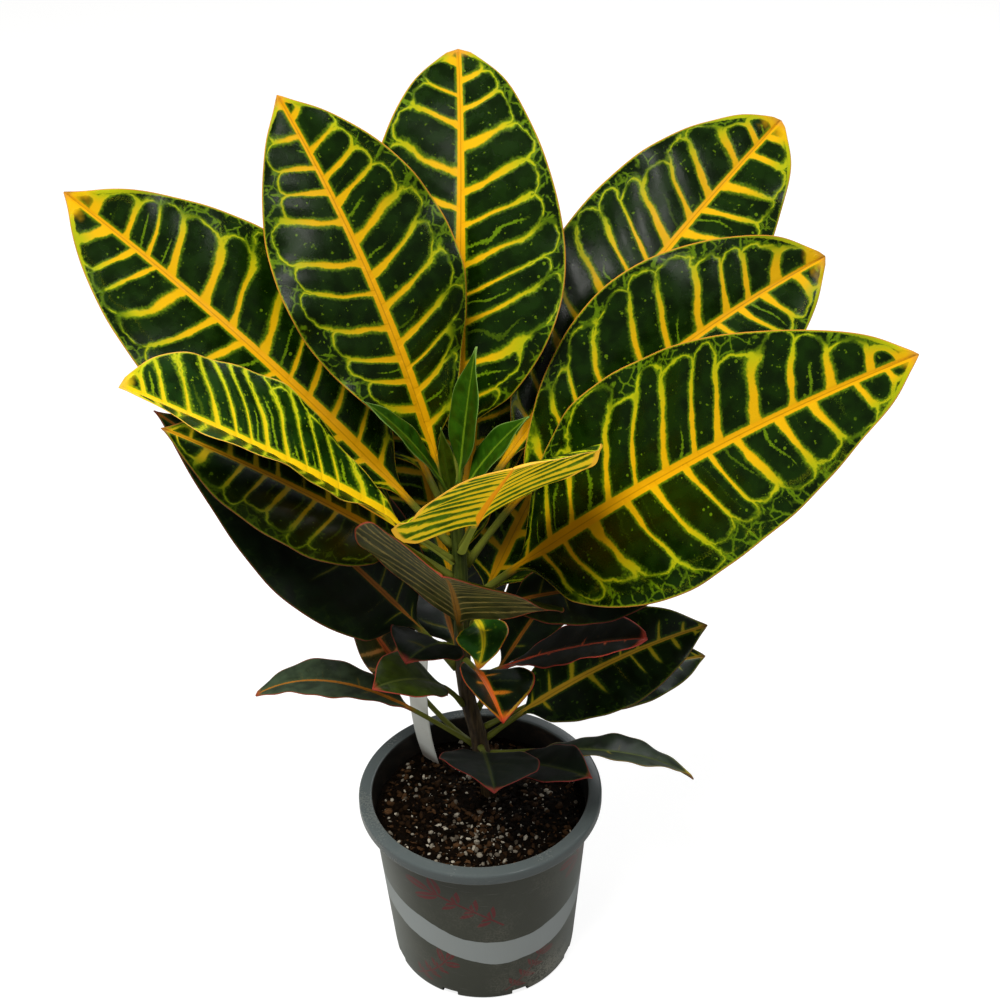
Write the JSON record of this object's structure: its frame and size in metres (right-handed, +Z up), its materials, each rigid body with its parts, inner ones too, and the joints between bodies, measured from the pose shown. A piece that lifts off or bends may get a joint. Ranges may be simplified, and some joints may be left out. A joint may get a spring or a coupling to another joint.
{
  "type": "potted croton",
  "caption": "Young croton plant with large variegated green and yellow leaves on one short stem, standing in soil in a round plastic nursery pot with a rolled rim.",
  "frame": {"origin": "centre of the pot's underside, where it rests", "axes": "+Z up, -Y the side that the plant shows in front, +X to the right seen from the front"},
  "size_m": [0.3701, 0.2562, 0.4803],
  "materials": {
    "pot_plastic": "moulded satin plastic, taupe grey outside, with a printed band and leaf sprigs",
    "soil_mix": "loose peat and bark with white perlite grains",
    "stem_bark": "thin ridged bark with leaf scars",
    "label_plastic": "plain white plastic, bare",
    "green_gold_leaf": "waxy leaf, dark green with a golden midrib and forking yellow veins",
    "gold_leaf": "waxy leaf, mostly yellow with green fields between the veins",
    "dark_leaf": "waxy old leaf, blackish green with red and orange veins and edge",
    "young_leaf": "soft young leaf, plain mid green with a paler midrib"
  },
  "bodies": {
    "root": {"pot": "pot_plastic", "soil": "soil_mix", "stem": "stem_bark", "plant_label": "label_plastic", "crown_bud": "young_leaf", "crown_leaf_left": "young_leaf", "crown_leaf_front": "young_leaf", "crown_leaf_tall": "young_leaf", "crown_leaf_right": "young_leaf", "leaf_top_middle": "green_gold_leaf", "leaf_top_left": "green_gold_leaf", "leaf_top_right": "green_gold_leaf", "leaf_top_left_behind": "green_gold_leaf", "leaf_upper_left": "green_gold_leaf", "leaf_upper_right": "green_gold_leaf", "leaf_right": "green_gold_leaf", "leaf_left_folded": "gold_leaf", "leaf_left_middle": "dark_leaf", "leaf_left_lower": "dark_leaf", "leaf_front_upper": "gold_leaf", "leaf_front_lower": "dark_leaf", "leaf_back_upper": "green_gold_leaf", "leaf_back_left": "green_gold_leaf", "leaf_back_right": "green_gold_leaf", "leaf_back_low_left": "dark_leaf", "leaf_back_low_right": "dark_leaf", "leaf_right_under": "dark_leaf", "leaf_right_curled": "dark_leaf", "leaf_front_left_dark": "dark_leaf", "leaf_front_small": "green_gold_leaf", "leaf_front_orange": "dark_leaf", "leaf_low_right": "dark_leaf", "leaf_low_right_behind": "dark_leaf", "leaf_low_right_drooping": "dark_leaf", "leaf_low_left_drooping": "dark_leaf", "leaf_low_left_steep": "dark_leaf", "leaf_low_left_small": "dark_leaf", "leaf_low_front": "dark_leaf", "leaf_low_front_right": "dark_leaf"}
  },
  "joints": []
}
